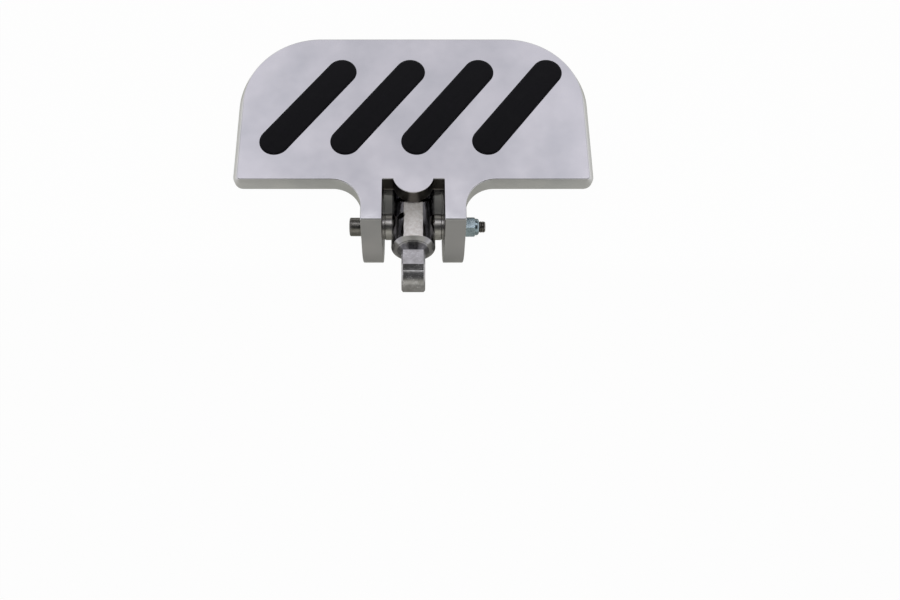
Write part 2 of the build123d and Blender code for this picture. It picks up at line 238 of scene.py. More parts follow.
def castChrome():
    # Cast aluminium, polished by hand and chromed: a mirror with soft blotches and fine rubbing marks
    look = {
        "light": "#D8D7D9",
        "dull": "#C3C4C7",
        "roughness": (0.07, 0.15),
        "blotchMm": 34.0,
        "swellMm": 27.2,
        "rubMm": 3.0,
        # painted shade: the dark colour of the slot and nose walls
        "castWallShade": "#625E58",
        "asCastRoughness": 0.34,
        "fadeAside": (21.2, 21.0),  # mm from the clevis pin, from chromed to the rougher cast walls with painted shade
        "fadeBehind": (58.7, 58.4),
        "fadeTop": (26.6, 26.2),
        "fadeBottom": (12.8, 13.2),
    }
    material, tree, shader, where = newMaterial("chromedCastAluminium")
    blotch = addNode(tree, "TexNoise", Vector=where, Scale=perMetre(look["blotchMm"]), Detail=3.0,
                     Roughness=0.55)
    cloud = addNode(tree, "MapRange", Value=blotch.outputs["Fac"], at1=0.25, at2=0.75)
    tone = addNode(tree, "Mix", {"data_type": "RGBA"}, at0=cloud.outputs[0], at6=linear(look["dull"]),
                   at7=linear(look["light"]))
    # The walls of the slots and of the nose are left rougher, as cast, and painted dark: painted shade for
    # the recess between the ears
    spot = addNode(tree, "SeparateXYZ", Vector=where)
    aside = addNode(tree, "Math", {"operation": "ABSOLUTE"}, at0=spot.outputs["X"])
    between = addNode(tree, "MapRange", Value=aside.outputs[0], at1=look["fadeAside"][0] * mm,
                      at2=look["fadeAside"][1] * mm)
    forward = addNode(tree, "MapRange", Value=spot.outputs["Y"], at1=look["fadeBehind"][0] * mm,
                      at2=look["fadeBehind"][1] * mm)
    under = addNode(tree, "MapRange", Value=spot.outputs["Z"], at1=look["fadeTop"][0] * mm,
                    at2=look["fadeTop"][1] * mm)
    over = addNode(tree, "MapRange", Value=spot.outputs["Z"], at1=look["fadeBottom"][0] * mm,
                   at2=look["fadeBottom"][1] * mm)
    inSlot = addNode(tree, "Math", {"operation": "MULTIPLY"}, at0=between.outputs[0], at1=forward.outputs[0])
    inWall = addNode(tree, "Math", {"operation": "MULTIPLY"}, at0=under.outputs[0], at1=over.outputs[0])
    castAndShaded = addNode(tree, "Math", {"operation": "MULTIPLY"}, at0=inSlot.outputs[0], at1=inWall.outputs[0])
    colour = addNode(tree, "Mix", {"data_type": "RGBA"}, at0=castAndShaded.outputs[0], at6=tone.outputs[2],
                     at7=linear(look["castWallShade"]))
    tree.links.new(colour.outputs[2], shader.inputs["Base Color"])
    shader.inputs["Metallic"].default_value = 1.0
    rub = addNode(tree, "TexNoise", Vector=where, Scale=perMetre(look["rubMm"]), Detail=4.0, Roughness=0.6)
    rough = addNode(tree, "MapRange", Value=blotch.outputs["Fac"], at1=0.35, at2=0.68,
                    at3=look["roughness"][0], at4=look["roughness"][1])
    finish = addNode(tree, "Mix", at0=castAndShaded.outputs[0], at2=rough.outputs[0], at3=look["asCastRoughness"])
    tree.links.new(finish.outputs[0], shader.inputs["Roughness"])
    wave = addNode(tree, "TexNoise", Vector=where, Scale=perMetre(look["swellMm"]), Detail=1.0)
    swell = addNode(tree, "Bump", Height=wave.outputs["Fac"], Strength=0.35, Distance=0.0012)
    fine = addNode(tree, "Bump", Height=rub.outputs["Fac"], Strength=0.05, Distance=0.0002,
                   Normal=swell.outputs[0])
    tree.links.new(fine.outputs[0], shader.inputs["Normal"])
    return material


def mouldedRubber():
    # Moulded black rubber: nearly matt, with a fine grain from the mould and faint greyish scuffs
    look = {
        "black": "#060609",
        "scuff": "#121115",
        "scuffMm": 9.0,
        "scuffShare": 0.7,
        "roughness": (0.5, 0.66),
        "specular": 0.12,
        "grainMm": 0.7,  # coarser than the real grain, so that it shows
    }
    material, tree, shader, where = newMaterial("mouldedRubber")
    scuff = addNode(tree, "TexNoise", Vector=where, Scale=perMetre(look["scuffMm"]), Detail=5.0,
                    Roughness=0.65)
    amount = addNode(tree, "MapRange", Value=scuff.outputs["Fac"], at1=0.5, at2=0.75, at3=0.0,
                     at4=look["scuffShare"])
    tone = addNode(tree, "Mix", {"data_type": "RGBA"}, at0=amount.outputs[0], at6=linear(look["black"]),
                   at7=linear(look["scuff"]))
    tree.links.new(tone.outputs[2], shader.inputs["Base Color"])
    shader.inputs["Specular IOR Level"].default_value = look["specular"]
    rough = addNode(tree, "MapRange", Value=scuff.outputs["Fac"], at1=0.3, at2=0.7,
                    at3=look["roughness"][0], at4=look["roughness"][1])
    tree.links.new(rough.outputs[0], shader.inputs["Roughness"])
    grain = addNode(tree, "TexNoise", Vector=where, Scale=perMetre(look["grainMm"]), Detail=2.0)
    bump = addNode(tree, "Bump", Height=grain.outputs["Fac"], Strength=0.25, Distance=0.00015)
    tree.links.new(bump.outputs[0], shader.inputs["Normal"])
    return material


# Two tones, roughness between two values, and tool marks that are finer along one axis
def metal(name, look):
    material, tree, shader, where = newMaterial(name)
    lay = addNode(tree, "Mapping", Vector=where, Scale=look["finer"])
    marks = addNode(tree, "TexNoise", Vector=lay.outputs[0], Scale=perMetre(look["markMm"]), Detail=3.0,
                    Roughness=0.6)
    stain = addNode(tree, "TexNoise", Vector=where, Scale=perMetre(look["stainMm"]), Detail=4.0,
                    Roughness=0.6)
    spread = addNode(tree, "MapRange", Value=stain.outputs["Fac"], at1=0.35, at2=0.65)
    tone = addNode(tree, "Mix", {"data_type": "RGBA"}, at0=spread.outputs[0], at6=linear(look["dark"]),
                   at7=linear(look["light"]))
    tree.links.new(tone.outputs[2], shader.inputs["Base Color"])
    shader.inputs["Metallic"].default_value = look["metallic"]
    half = addNode(tree, "Math", {"operation": "MULTIPLY"}, at0=marks.outputs["Fac"], at1=0.5)
    both = addNode(tree, "Math", {"operation": "MULTIPLY_ADD"}, at0=stain.outputs["Fac"], at1=0.5,
                   at2=half.outputs[0])
    rough = addNode(tree, "MapRange", Value=both.outputs[0], at1=0.35, at2=0.65,
                    at3=look["roughness"][0], at4=look["roughness"][1])
    tree.links.new(rough.outputs[0], shader.inputs["Roughness"])
    bump = addNode(tree, "Bump", Height=marks.outputs["Fac"], Strength=look["dent"], Distance=0.0002)
    tree.links.new(bump.outputs[0], shader.inputs["Normal"])
    return material


# Painted shade: darkens a steel between two places along the block's axis, in mm from the bolt
def paintedShadeBand(material, band):
    tree = material.node_tree
    shader = next(n for n in tree.nodes if n.type == "BSDF_PRINCIPLED")
    colour = shader.inputs["Base Color"].links[0].from_socket
    where = addNode(tree, "TexCoord").outputs["Object"]
    axis = blockPlace.to_3x3() @ Vector((0, -1, 0))
    start = axis.dot(blockPlace.translation) * mm
    along = addNode(tree, "VectorMath", {"operation": "DOT_PRODUCT"}, at0=where, at1=axis)
    rise = addNode(tree, "MapRange", Value=along.outputs["Value"],
                   at1=start + (band["near"] - band["nearFade"]) * mm, at2=start + band["near"] * mm)
    fall = addNode(tree, "MapRange", Value=along.outputs["Value"],
                   at1=start + band["far"] * mm, at2=start + (band["far"] - band["farFade"]) * mm)
    within = addNode(tree, "Math", {"operation": "MULTIPLY"}, at0=rise.outputs[0], at1=fall.outputs[0])
    streak = addNode(tree, "TexNoise", Vector=where, Scale=perMetre(band["streakMm"]), Detail=3.0)
    amount = addNode(tree, "Math", {"operation": "MULTIPLY"}, at0=within.outputs[0],
                     at1=streak.outputs["Fac"])
    stronger = addNode(tree, "MapRange", Value=amount.outputs[0], at1=0.0, at2=0.5)
    tone = addNode(tree, "Mix", {"data_type": "RGBA"}, at0=stronger.outputs[0], at6=colour,
                   at7=linear(band["shade"]))
    tree.links.new(tone.outputs[2], shader.inputs["Base Color"])


def naturalNylon():
    # Natural nylon: cloudy off-white, slightly waxy
    look = {"dark": "#C9C8BE", "light": "#DEDDD4", "cloudMm": 2.0, "roughness": 0.45}
    material, tree, shader, where = newMaterial("naturalNylon")
    cloud = addNode(tree, "TexNoise", Vector=where, Scale=perMetre(look["cloudMm"]), Detail=3.0)
    tone = addNode(tree, "Mix", {"data_type": "RGBA"}, at0=cloud.outputs["Fac"], at6=linear(look["dark"]),
                   at7=linear(look["light"]))
    tree.links.new(tone.outputs[2], shader.inputs["Base Color"])
    shader.inputs["Roughness"].default_value = look["roughness"]
    return material


def groundBlockWithPaintedHighlight():
    # Turned steel, polished round its sides and ground satin along a strip on top. The strip is painted paler
    # and mottled, a painted highlight for the light on the block's top, so it looks more like a pale matt
    # skin than a mirror
    look = {
        # painted highlight: both pale tones of the top strip
        "ground": "#E9E7E6",
        "dimHighlight": "#D2CDC9",
        "groundRoughness": 0.74,
        "groundMetallic": 0.08,
        "mottleMm": 2.2,
        "sides": "#A5A4A6",
        "sidesRoughness": 0.14,
        "halfStrip": 6.5,  # mm to each side of the middle
        "stripFade": 0.2,
        "wander": 1.2,  # mm by which the strip's edges stray
        "wanderMm": 6.0,
        "fadeHeight": (-1.0, 0.0),  # mm from the clevis pin, where the strip begins
        "fadeBehind": (24.7, 25.2),
    }
    material, tree, shader, where = newMaterial("groundSteelPaintedHighlight")
    spot = addNode(tree, "SeparateXYZ", Vector=where)
    wander = addNode(tree, "TexNoise", Vector=where, Scale=perMetre(look["wanderMm"]), Detail=1.0)
    aside = addNode(tree, "Math", {"operation": "ABSOLUTE"}, at0=spot.outputs["X"])
    drift = addNode(tree, "Math", {"operation": "MULTIPLY_ADD"}, at0=wander.outputs["Fac"],
                    at1=look["wander"] * mm, at2=aside.outputs[0])
    edge, fade = (look["halfStrip"] + look["wander"] / 2) * mm, look["stripFade"] * mm
    strip = addNode(tree, "MapRange", Value=drift.outputs[0], at1=edge + fade, at2=edge - fade)
    upper = addNode(tree, "MapRange", Value=spot.outputs["Z"], at1=look["fadeHeight"][0] * mm,
                    at2=look["fadeHeight"][1] * mm)
    behind = addNode(tree, "MapRange", Value=spot.outputs["Y"], at1=look["fadeBehind"][0] * mm,
                     at2=look["fadeBehind"][1] * mm)
    high = addNode(tree, "Math", {"operation": "MULTIPLY"}, at0=behind.outputs[0], at1=upper.outputs[0])
    onTop = addNode(tree, "Math", {"operation": "MULTIPLY"}, at0=strip.outputs[0], at1=high.outputs[0])
    mottle = addNode(tree, "TexNoise", Vector=where, Scale=perMetre(look["mottleMm"]), Detail=5.0,
                     Roughness=0.65)
    blot = addNode(tree, "MapRange", Value=mottle.outputs["Fac"], at1=0.38, at2=0.66)
    pale = addNode(tree, "Mix", {"data_type": "RGBA"}, at0=blot.outputs[0], at6=linear(look["dimHighlight"]),
                   at7=linear(look["ground"]))
    tone = addNode(tree, "Mix", {"data_type": "RGBA"}, at0=onTop.outputs[0], at6=linear(look["sides"]),
                   at7=pale.outputs[2])
    tree.links.new(tone.outputs[2], shader.inputs["Base Color"])
    matt = addNode(tree, "MapRange", Value=onTop.outputs[0], at3=1.0, at4=look["groundMetallic"])
    tree.links.new(matt.outputs[0], shader.inputs["Metallic"])
    rough = addNode(tree, "MapRange", Value=onTop.outputs[0], at3=look["sidesRoughness"],
                    at4=look["groundRoughness"])
    tree.links.new(rough.outputs[0], shader.inputs["Roughness"])
    bump = addNode(tree, "Bump", Height=mottle.outputs["Fac"], Strength=0.12, Distance=0.0003)
    tree.links.new(bump.outputs[0], shader.inputs["Normal"])
    return material


chrome = castChrome()
blockSteel = groundBlockWithPaintedHighlight()
rubber = mouldedRubber()
# Turned and polished steel: bright, with rings left by the lathe round its axis and a few dull spots
turnedSteel = metal("turnedPolishedSteel", {
    "light": "#C2C1C2",
    "dark": "#A3A2A1",
    "roughness": (0.13, 0.3),
    "metallic": 0.92,
    "markMm": 0.9,
    "finer": (1.0, 6.0, 1.0),
    "dent": 0.22,
    "stainMm": 5.0,
})
# Painted shade: a darker ring on the cone between the collar and the neck
paintedShadeBand(turnedSteel, {
    "shade": "#68676B",
    "near": 21.4,
    "nearFade": 0.6,
    "far": 25.4,
    "farFade": 0.4,
    "streakMm": 2.5,
})
# Oiled dark steel of the bolt: grey and slightly brown
boltSteel = metal("oiledBoltSteel", {
    "light": "#9B9995",
    "dark": "#7B7873",
    "roughness": (0.24, 0.4),
    "metallic": 1.0,
    "markMm": 0.8,
    "finer": (5.0, 1.0, 1.0),
    "dent": 0.25,
    "stainMm": 4.0,
})
# Plain turned steel: greyer and duller than the polished parts
plainSteel = metal("plainTurnedSteel", {
    "light": "#D2D0CD",
    "dark": "#BCBAB7",
    "roughness": (0.28, 0.4),
    "metallic": 1.0,
    "markMm": 0.8,
    "finer": (5.0, 1.0, 1.0),
    "dent": 0.15,
    "stainMm": 4.0,
})
# Clear zinc plate on steel: pale blue and slightly cloudy
zincPlate = metal("blueZincPlate", {
    "light": "#BCCCD2",
    "dark": "#9BAEB6",
    "roughness": (0.2, 0.34),
    "metallic": 1.0,
    "markMm": 0.7,
    "finer": (1.0, 1.0, 1.0),
    "dent": 0.1,
    "stainMm": 3.0,
})
# Black oxide: a thin oily black skin on steel
blackOxide = metal("blackOxideSteel", {
    "light": "#2B2B2D",
    "dark": "#19191A",
    "roughness": (0.35, 0.5),
    "metallic": 1.0,
    "markMm": 0.6,
    "finer": (1.0, 1.0, 1.0),
    "dent": 0.2,
    "stainMm": 2.5,
})
nylon = naturalNylon()
print("materials ready")


# Plate

plate = {
    "width": 244.0,
    "depth": 117.4,
    "innerEdge": 17.6,  # from the bolt's axis
    "top": 36.4,  # above the bolt's axis
    "thickness": 14.0,
    "outerCorner": 56.0,
    "innerCorner": 6.5,
    "slopeWidth": 4.5,  # the slanted band round the rim
    "slopeHeight": 8.0,
    "creaseSoftness": 1.4,
    "skin": 10.2,  # from the top to the bays below
    "rimWall": 6.0,
    "ribThickness": 4.5,
    "ribSetback": 0.8,  # the ribs stop short of the underside
    "rootSoftness": 20.0,  # concave corner where the shoulders leave the plate
    "shoulderOverlap": 9.0,  # how far the shoulders run into the plate
}
ears = {
    "gap": 41.6,
    "thickness": 14.0,
    "radius": 25.0,
    "reach": 11.7,  # of the top in front of the bolt
    "gusset": 52.0,  # how far back the gusset meets the underside
    "slotEnd": 18.1,
    "slotCorner": 0.6,
    "web": 8.0,  # the stop web's thickness
    "webRise": 9.3,  # of its slanted foot
    "noseWidth": 26.8,
    "noseTip": 7.8,
    "boltHole": 4.2,
}
softness = {
    "edge": 0.8,  # mm, and the rest are shares of it
    "slots": 0.45,
    "bays": 0.0,
    "pockets": 0.25,
    "elsewhere": 1.0,
    "slotReach": 0.3,  # mm beside a slot that still count as its edge
    "pocketReach": 0.2,
}
strips = {
    "count": 4,
    "length": 91.4,
    "width": 20.8,
    "pitch": 48.0,
    "angle": 52.0,
    "middle": 74.5,  # behind the bolt's axis
    "pocket": 4.0,
    "gap": 0.15,
    "proud": 0.8,
    "edge": 1.3,
    "studPitch": 22.0,
    "studRadius": 3.0,
    "studRoot": 1.0,  # how far the stud's shape starts inside the strip
    "studHead": 4.2,
    "studHeadHeight": 2.8,
    "studHeadEdge": 0.5,
    "studTip": 0.3,
}
plateBottom = plate["top"] - plate["thickness"]
skinBottom = plate["top"] - plate["skin"]
pocketFloor = plate["top"] - strips["pocket"]
earInner = ears["gap"] / 2
earOuter = earInner + ears["thickness"]


def boardOutline(bm, z, inset, innerInset=0.0):  # the D at height z, drawn in by inset on the outer sides
    side = plate["width"] / 2 - inset
    inner = plate["innerEdge"] + innerInset
    outer = plate["innerEdge"] + plate["depth"] - inset
    verts = polygon(bm, [(-side, inner), (side, inner), (side, outer), (-side, outer)], z)
    roundCorners(bm, verts[:2], plate["innerCorner"] - inset, segments=8)
    roundCorners(bm, verts[2:], plate["outerCorner"] - inset, segments=30)


def makeSlab():
    bm = bmesh.new()
    levels = [(plateBottom, 0.0), (plate["top"] - plate["slopeHeight"], 0.0),
              (plate["top"], plate["slopeWidth"])]
    for z, inset in levels:
        boardOutline(bm, z, inset)
    low, middle, high = [levelFace(bm, z) for z, inset in levels]
    lowEdges, middleEdges, highEdges = [list(f.edges) for f in (low, middle, high)]
    bmesh.ops.delete(bm, geom=[middle], context="FACES_ONLY")
    bmesh.ops.bridge_loops(bm, edges=lowEdges + middleEdges)
    bmesh.ops.bridge_loops(bm, edges=middleEdges + highEdges)
    bmesh.ops.recalc_face_normals(bm, faces=bm.faces)
    crease, behind = levels[1][0], plate["innerEdge"] + 0.5  # the inner side has no crease
    bend = [e for e in bm.edges if all(abs(v.co.z - crease) < tolerance["level"] for v in e.verts)
            and max(v.co.y for v in e.verts) > behind]
    roundEdges(bm, bend, plate["creaseSoftness"], segments=3)
    return cleaned(bm)


def earPoints(x):  # a round eye under a top corner, with a gusset behind
    r, steps = ears["radius"], 120
    points = [(r * cos(a), r * sin(a)) for a in [2 * pi * i / steps for i in range(steps)]]
    points += [(-ears["reach"], plate["top"]), (ears["slotEnd"] + ears["web"], plate["top"])]
    points += [(ears["gusset"], plateBottom), (ears["gusset"], skinBottom)]
    return [(x, y, z) for y, z in points]


def makeShoulders():  # the plate runs forward to the ears through two concave corners
    bm = bmesh.new()
    wide = earOuter + plate["rootSoftness"] + 1.5  # a little past the ends of the rounding
    inner = plate["innerEdge"]
    front = inner - plate["rootSoftness"] - 0.6
    back = inner + plate["shoulderOverlap"]
    verts = polygon(bm, [
        (-wide, back), (-wide, inner), (-earOuter, inner), (-earOuter, front),
        (earOuter, front), (earOuter, inner), (wide, inner), (wide, back),
    ], plateBottom)
    roundCorners(bm, [verts[2], verts[5]], plate["rootSoftness"], segments=20)
    return raised(bm, plate["thickness"])


def noseRadius():
    half = ears["noseWidth"] / 2
    deep = ears["slotEnd"] - ears["noseTip"]
    return (half ** 2 + deep ** 2) / (2 * deep)


def makeSlotCutter():  # all that is open between the ears in front of the stop web, round the nose
    clear, tall = 60, 200  # well past the plate
    bm = brick((-earInner, -clear, -clear), (earInner, ears["slotEnd"], clear))
    corners = [e for e in bm.edges if abs(e.verts[0].co.z - e.verts[1].co.z) > 1
               and min(v.co.y for v in e.verts) > 0]
    roundEdges(bm, corners, ears["slotCorner"], segments=3)
    nose = moved(rod(noseRadius(), tall, segments=96),
                 Matrix.Translation((0, ears["noseTip"] + noseRadius(), -tall / 2)))
    return combined(bm, nose)


def makeBays():  # shallow bays under the skin, between slanted ribs
    below, clear, long = 2, 60, 160  # past the underside, the top and the sides
    ahead, under = 50, 10
    bm = bmesh.new()
    boardOutline(bm, plateBottom - below, plate["rimWall"], plate["rimWall"])
    raised(bm, skinBottom - plateBottom + below)
    side = earOuter + 2 * plate["ribThickness"]
    bm = combined(bm, brick((-side, -ahead, -under), (side, ears["gusset"], clear)))  # solid behind the ears
    for i in range(strips["count"] + 1):
        bar = brick((-long, -plate["ribThickness"] / 2, plateBottom + plate["ribSetback"]),
                    (long, plate["ribThickness"] / 2, clear))
        place = Matrix.Translation(((i - strips["count"] / 2) * strips["pitch"], strips["middle"], 0))
        moved(bar, place @ Matrix.Rotation(radians(strips["angle"]), 4, "Z"))
        bm = combined(bm, bar)
    return bm


def stripCentres():
    return [((i - (strips["count"] - 1) / 2) * strips["pitch"], strips["middle"])
            for i in range(strips["count"])]


def stripPlace(centre, z):
    return Matrix.Translation((*centre, z)) @ Matrix.Rotation(radians(strips["angle"]), 4, "Z")


def stadium(length, width, height):
    bm = bmesh.new()
    x, y = length / 2, width / 2
    verts = polygon(bm, [(-x, -y), (x, -y), (x, y), (-x, y)])
    roundCorners(bm, verts, y - 0.002, segments=20)  # a hair less than half, so that no edge vanishes
    return raised(bm, height)


def topFaces(bm):
    return [f for f in bm.faces if f.normal.z > 0.999
            and abs(f.verts[0].co.z - plate["top"]) < tolerance["level"]]


# Parts the top straight through the middle of each pocket, so that no seam runs into a rounded corner
def partTop(bm):
    bm.normal_update()
    for x, y in stripCentres():
        top = topFaces(bm)
        edges = [e for e in bm.edges if any(f in top for f in e.link_faces)]
        verts = [v for v in bm.verts if any(f in top for f in v.link_faces)]
        bmesh.ops.bisect_plane(bm, geom=top + edges + verts, dist=tolerance["snap"],
                               plane_co=(x, 0, 0), plane_no=(1, 0, 0))
    top = topFaces(bm)
    seams = [e for e in bm.edges if all(f in top for f in e.link_faces)
             and not any(all(abs(v.co.x - x) < tolerance["level"] for v in e.verts)
                         for x, y in stripCentres())]
    bmesh.ops.dissolve_edges(bm, edges=seams)
    return bm


def makePlate():
    bm = combined(makeSlab(), makeShoulders(), "UNION")
    bm = combined(bm, makeSlotCutter())
    for x in (-earOuter, earInner):
        bm = combined(bm, hullOf(earPoints(x) + earPoints(x + ears["thickness"])), "UNION")
    low = -sqrt(ears["radius"] ** 2 - ears["slotEnd"] ** 2)
    rear = ears["slotEnd"] + ears["web"]
    front = ears["slotEnd"] - 0.5
    high = plateBottom + 4  # the web's top and sides run a little into the plate and the ears
    web = [(x, y, z) for x in (-earInner - 0.6, earInner + 0.6)
           for y, z in ((front, low), (rear, low + ears["webRise"]), (rear, high), (rear - 2, high),
                        (front, plateBottom))]
    bm = combined(bm, hullOf(web), "UNION")
    bm = combined(bm, makeBays())
    for centre in stripCentres():
        pocket = stadium(strips["length"], strips["width"], height=10)
        bm = combined(bm, moved(pocket, stripPlace(centre, pocketFloor)))
        for k in (-1, 0, 1):
            hole = rod(strips["studRadius"] + strips["gap"], length=30, segments=24)
            place = stripPlace(centre, plateBottom - 10) @ Matrix.Translation((k * strips["studPitch"], 0, 0))
            bm = combined(bm, moved(hole, place))
    return partTop(combined(bm, crossRod(ears["boltHole"], start=-60, length=120, segments=48)))


def insideRim(spot):  # further in than the outer part of the wall round the underside
    margin = 2
    near, far = plate["innerEdge"] + margin, plate["innerEdge"] + plate["depth"] - margin
    return abs(spot.x) < plate["width"] / 2 - margin and near < spot.y < far


def plateSoftness(e):  # the edges of the pockets and slots stay crisp, the rim is softer
    middle = (e.verts[0].co + e.verts[1].co) / 2 - boltPlace.translation
    beside = softness["slotReach"]
    if abs(middle.x) < earInner + beside and middle.y < ears["slotEnd"] + beside:
        return softness["slots"]
    beside = softness["pocketReach"]
    if middle.z < skinBottom + beside and insideRim(middle):
        return softness["bays"]
    for x, y in stripCentres():
        turn = Matrix.Rotation(-radians(strips["angle"]), 4, "Z")
        local = turn @ Vector((middle.x - x, middle.y - y, 0))
        if abs(local.x) < strips["length"] / 2 + beside and abs(local.y) < strips["width"] / 2 + beside:
            return softness["pockets"]
    return softness["elsewhere"]


makePiece("boardPlate", moved(makePlate(), boltPlace), chrome, "board", ["board_plate"],
          softness["edge"], segments=3, softer=plateSoftness)


def makeStrip(centre):
    bm = stadium(strips["length"] - 2 * strips["gap"], strips["width"] - 2 * strips["gap"],
                 strips["pocket"] + strips["proud"])
    top = levelFace(bm, strips["pocket"] + strips["proud"])
    roundEdges(bm, list(top.edges), strips["edge"], segments=4)
    r, wide = strips["studRadius"], strips["studHead"]
    root, edge = strips["studRoot"], strips["studHeadEdge"]
    neck = skinBottom - pocketFloor
    tip = neck - strips["studHeadHeight"]
    points = [(0, root), (r, root), (r, neck), (wide, neck - 0.05), (wide, neck - edge),
              (r, tip + strips["studTip"]), (r - edge, tip), (0, tip)]
    for k in (-1, 0, 1):
        stud = moved(turned(points, steps=32), Matrix.Rotation(pi / 2, 4, "X"),
                     Matrix.Translation((k * strips["studPitch"], 0, 0)))
        bm = combined(bm, stud, "UNION")
    return moved(bm, stripPlace(centre, pocketFloor))


for number, centre in enumerate(stripCentres(), start=1):
    makePiece(f"rubberStrip{number}", moved(makeStrip(centre), boltPlace), rubber, "board",
              [f"rubber_inlay_{number}"], sharp=40)


# Pivot block and mount, drawn level with the tongue towards -Y

pivot = {
    "radius": 15.2,
    "front": 18.4,
    "coneLength": 2.4,
    "faceRadius": 11.77,
    "rear": 17.7,  # also the radius of its rounded back
    "rearEdge": 0.9,
    "shankHole": 8.05,
    "shankHoleStart": 8.0,
    "seat": 11.67,
    "seatDepth": 3.5,
    "crossBore": 6.0,
    "spotFace": 14.4,
    "spotRadius": 9.6,
    "tapped": 2.5,
    "tensionOffset": 8.2,
    "levelOffset": 13.0,
    "edge": 0.35,
}
mount = {
    "shank": 8.0,
    "shankEnd": 8.3,
    "shankEdge": 0.6,
    "groove": 6.8,  # its radius, where the level screw bears
    "grooveHalf": 2.1,
    "collar": 11.57,
    "collarGap": 0.2,
    "neck": 6.0,
    "neckFlare": 0.4,
    "neckFlareLength": 0.6,
    "neckRoot": 2.0,  # how far the neck runs into the tongue
    "coneEnd": 24.7,
    "tongueStart": 29.7,
    "pin": 41.0,
    "halfWidth": 7.9,
    "radius": 11.5,
    "chamfer": 1.1,
    "bore": 4.8,
    "stopRise": 2.0,  # the flat stop above the tongue's round end
    "stopEnd": 41.4,
    "stopFoot": (44.8, 10.8),  # where its slope meets the round end
    "stopRoot": 4.0,
}


def makeBlock():
    r, edge, end = pivot["radius"], pivot["rearEdge"], pivot["front"] + pivot["coneLength"]
    bm = turned([(0, pivot["rear"]), (r - edge, pivot["rear"]), (r, pivot["rear"] - edge),
                 (r, -pivot["front"]), (pivot["faceRadius"], -end), (0, -end)])
    beside, beyond = 40, 60
    corner = brick((-beside, 0, 0), (beside, beyond, beyond))
    bm = combined(bm, combined(corner, crossRod(pivot["rear"], start=-50, length=100, segments=128)))
    toFront = Matrix.Rotation(pi / 2, 4, "X")  # +Z goes to -Y
    hole = moved(rod(pivot["shankHole"], length=30), toFront,
                 Matrix.Translation((0, -pivot["shankHoleStart"], 0)))
    bm = combined(bm, hole)
    seat = moved(rod(pivot["seat"], length=10, segments=96), toFront,
                 Matrix.Translation((0, -end + pivot["seatDepth"], 0)))
    bm = combined(bm, seat)
    bm = combined(bm, crossRod(pivot["crossBore"], start=-30, length=60))
    clear = 30  # past the block's sides
    for start in (-pivot["spotFace"] - clear, pivot["spotFace"]):
        bm = combined(bm, crossRod(pivot["spotRadius"], start, clear))
    long = 40  # of the tapped holes' tools
    above = moved(rod(pivot["tapped"], long, segments=32),
                  Matrix.Translation((-pivot["tensionOffset"], 0, 0)))
    bm = combined(bm, above)
    below = moved(rod(pivot["tapped"], long, segments=32),
                  Matrix.Translation((0, -pivot["levelOffset"], -long)))
    return combined(bm, below)


def makeTongue():
    half, r, end, steps = mount["halfWidth"], mount["radius"], mount["pin"], 96
    outline = [(-end + r * cos(a), r * sin(a)) for a in [2 * pi * i / steps for i in range(steps)]]
    outline += [(-mount["tongueStart"], r), (-mount["tongueStart"], -r)]
    bm = hullOf([(x, y, z) for x in (-half, half) for y, z in outline])
    high, root, (footReach, footHeight) = r + mount["stopRise"], mount["stopRoot"], mount["stopFoot"]
    stop = [(-mount["tongueStart"], r - root), (-mount["tongueStart"], high), (-mount["stopEnd"], high),
            (-footReach, footHeight), (-footReach, footHeight - root)]
    bm = combined(bm, hullOf([(x, y, z) for x in (-half, half) for y, z in stop]), "UNION")
    sides = [e for e in bm.edges if all(abs(abs(v.co.x) - half) < tolerance["level"] for v in e.verts)
             and e.verts[0].co.x * e.verts[1].co.x > 0]
    roundEdges(bm, sides, mount["chamfer"], segments=1)
    bore = crossRod(mount["bore"], start=-30, length=60, segments=48)
    return combined(bm, moved(bore, Matrix.Translation((0, -end, 0))))


def makeMount():
    r, edge, collar, neck = mount["shank"], mount["shankEdge"], mount["collar"], mount["neck"]
    groove, half, low = pivot["levelOffset"], mount["grooveHalf"], mount["groove"]
    seat = pivot["front"] + pivot["coneLength"] - pivot["seatDepth"] + mount["collarGap"]
    face = pivot["front"] + pivot["coneLength"]
    neckEnd = -mount["tongueStart"] - mount["neckRoot"]
    bm = turned([
        (0, -mount["shankEnd"]), (r - edge, -mount["shankEnd"]), (r, -mount["shankEnd"] - edge),
        (r, -groove + half), (low, -groove + half), (low, -groove - half), (r, -groove - half),
        (r, -seat), (collar, -seat), (collar, -face), (neck + mount["neckFlare"], -mount["coneEnd"]),
        (neck, -mount["coneEnd"] - mount["neckFlareLength"]), (neck, neckEnd), (0, neckEnd),
    ])
    return combined(bm, makeTongue(), "UNION")


makePiece("pivotBlock", moved(makeBlock(), blockPlace), blockSteel, "block", ["pivot_block"],
          pivot["edge"], sharp=25)
makePiece("tongueMount", moved(makeMount(), blockPlace), turnedSteel, "mount", ["tongue_mount"],
          sharp=25)


# Bolt, nut, washers and spacers along X

